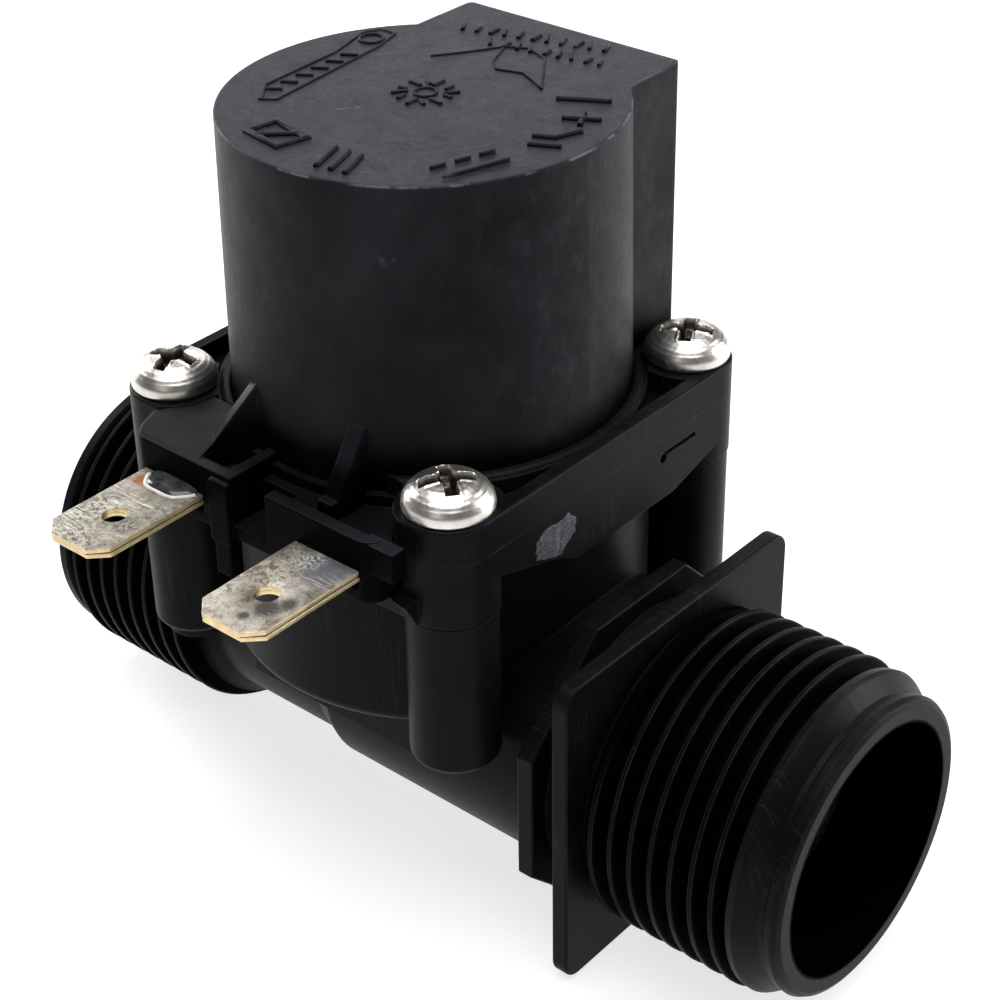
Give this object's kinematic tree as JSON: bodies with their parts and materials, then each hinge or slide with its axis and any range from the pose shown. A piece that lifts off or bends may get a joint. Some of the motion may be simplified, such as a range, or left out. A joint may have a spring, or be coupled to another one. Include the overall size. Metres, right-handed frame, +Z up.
{
  "type": "solenoid valve",
  "caption": "In-line pilot-operated diaphragm water valve with a moulded cylindrical coil, blade terminals, screwed bonnet and male threaded ends.",
  "frame": {"origin": "centre of the bottom of the overall box, on the surface the valve stands on", "axes": "+X along the flow axis towards the inlet mouth, +Z up along the coil axis, -Y towards the blade terminals"},
  "size_m": [0.0768, 0.0488, 0.0628],
  "materials": {
    "black_nylon": "satin glass-filled nylon, scuffed edges",
    "coil_resin": "matte thermoset, slate grey top face",
    "bobbin_nylon": "natural nylon",
    "copper_wire": "enamelled copper",
    "winding_tape": "polyester tape",
    "zinc_steel": "zinc plated mild steel",
    "screw_steel": "bright nickel plated",
    "tinned_brass": "tinned brass, handled and stained",
    "magnetic_steel": "turned stainless",
    "spring_steel": "stainless spring wire",
    "black_rubber": "EPDM, matt",
    "insert_nylon": "white nylon",
    "strainer_nylon": "black nylon",
    "strainer_wire": "fine woven mesh"
  },
  "bodies": {
    "valve": {"valve_body": "black_nylon", "bonnet": "black_nylon", "top_cover": "black_nylon", "coil_housing": "coil_resin", "coil_bobbin": "bobbin_nylon", "copper_winding": "copper_wire", "winding_tape": "winding_tape", "magnet_yoke": "zinc_steel", "lower_pole_sleeve": "zinc_steel", "upper_pole_sleeve": "zinc_steel", "terminal_left": "tinned_brass", "terminal_right": "tinned_brass", "lead_wires": "copper_wire", "plunger_spring": "spring_steel", "diaphragm": "black_rubber", "inlet_strainer": "strainer_nylon", "strainer_mesh": "strainer_wire", "cover_screws": "screw_steel"},
    "plunger": {"plunger": "magnetic_steel", "plunger_seal": "black_rubber"},
    "diaphragm": {"diaphragm_insert": "insert_nylon"}
  },
  "joints": [
    {"name": "plunger_lift", "type": "slide", "parent": "valve", "child": "plunger", "axis": [0, 0, 1], "range_m": [0, 0.0036], "stiffness_N_per_m": 120, "springref_m": -0.006, "deforming": ["plunger_spring"]},
    {"name": "diaphragm_lift", "type": "slide", "parent": "valve", "child": "diaphragm", "axis": [0, 0, 1], "range_m": [0, 0.0026], "deforming": ["diaphragm"]}
  ],
  "couplings": [
    {"joint": "diaphragm_lift", "follows": "plunger_lift", "ratio": 0.72}
  ]
}
